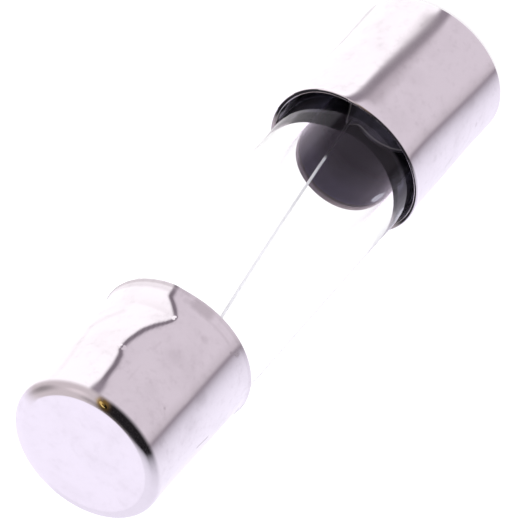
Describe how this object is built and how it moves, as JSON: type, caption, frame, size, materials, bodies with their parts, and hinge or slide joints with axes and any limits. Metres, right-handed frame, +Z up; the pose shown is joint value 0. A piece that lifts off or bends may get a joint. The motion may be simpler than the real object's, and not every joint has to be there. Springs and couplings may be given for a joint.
{
  "type": "glass cartridge fuse",
  "caption": "Small cartridge fuse: a glass tube closed by bright metal end caps, with a fine fuse wire soldered slantwise through its bore.",
  "frame": {"origin": "middle of the bottom cap's flat end, on the surface that the fuse stands on", "axes": "+Z up along the fuse's axis, towards the top cap; the top cap's dented side faces -Y and the bent lip of the bottom cap faces between +X and -Y"},
  "size_m": [0.0052, 0.0052, 0.0202],
  "materials": {
    "nickel_plating": "bright nickel plate on brass",
    "clear_glass": "clear, smooth",
    "solder": "dull tin solder",
    "tinned_wire": "bright tinned wire"
  },
  "bodies": {
    "root": {"bottom_cap": "nickel_plating", "top_cap": "nickel_plating", "glass_tube": "clear_glass", "bottom_solder": "solder", "top_solder": "solder", "fuse_wire": "tinned_wire"}
  },
  "joints": []
}
